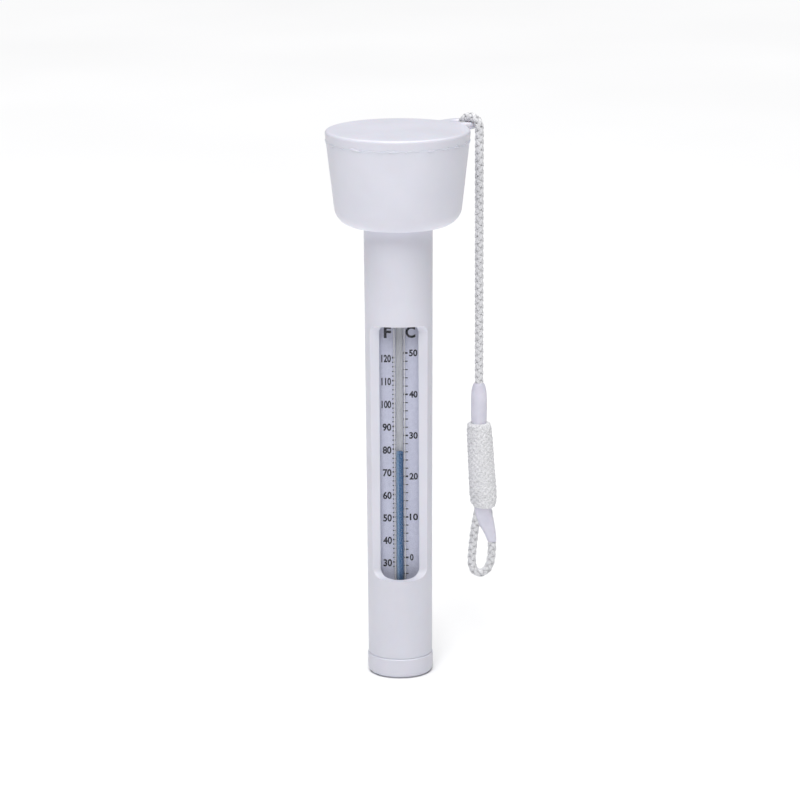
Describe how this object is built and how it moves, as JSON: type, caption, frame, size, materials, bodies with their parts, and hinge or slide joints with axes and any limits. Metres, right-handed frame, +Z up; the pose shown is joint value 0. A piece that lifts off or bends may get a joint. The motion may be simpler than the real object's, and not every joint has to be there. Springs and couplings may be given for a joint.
{
  "type": "floating pool thermometer",
  "caption": "Floating pool thermometer: tapered hollow float on a windowed stem, spirit thermometer and scale inside, weighted end cap, braided lanyard tied through the eyelet of the lid.",
  "frame": {"origin": "centre of the end cap's flat bottom, on the stem's axis", "axes": "+Z up along the stem towards the float's lid, -Y out of the scale window, +X to the right of someone reading the scale"},
  "size_m": [0.0576, 0.0478, 0.1885],
  "materials": {
    "white_abs": "moulded, satin gloss",
    "clear_plastic": "clear and polished",
    "capillary": "drawn glass",
    "spirit": "blue dyed spirit",
    "card": "matt printed card",
    "ink": "matt printing ink",
    "foam_rubber": "matt",
    "ballast": "zinc plated",
    "braid": "braided white nylon",
    "sleeve": "soft shrunk sleeve"
  },
  "bodies": {
    "root": {"float_cup": "white_abs", "float_lid": "white_abs", "stem_tube": "white_abs", "end_cap": "white_abs", "ballast_weight": "ballast", "bottom_cushion": "foam_rubber", "top_cushion": "foam_rubber", "clear_tube": "clear_plastic", "scale_card": "card", "celsius_marks": "ink", "fahrenheit_marks": "ink", "capillary_glass": "capillary", "spirit_reservoir": "spirit", "spirit_column": "spirit"},
    "meniscus": {"spirit_tip": "spirit"},
    "lanyard": {"stopper_knot": "braid", "cord_run": "braid", "upper_sleeve": "sleeve", "cord_hank": "braid", "loop_sleeve": "sleeve", "cord_loop": "braid"}
  },
  "joints": [
    {"name": "column_rise", "type": "slide", "parent": "root", "child": "meniscus", "axis": [0, 0, 1], "range_m": [-0.04449, 0.03319], "deforming": ["spirit_column"]},
    {"name": "lanyard_swivel", "type": "hinge", "parent": "root", "child": "lanyard", "pos_m": [0.02068, 0.01735, 0.1842], "axis": [0, 0, 1], "range_deg": [0, 156]}
  ]
}
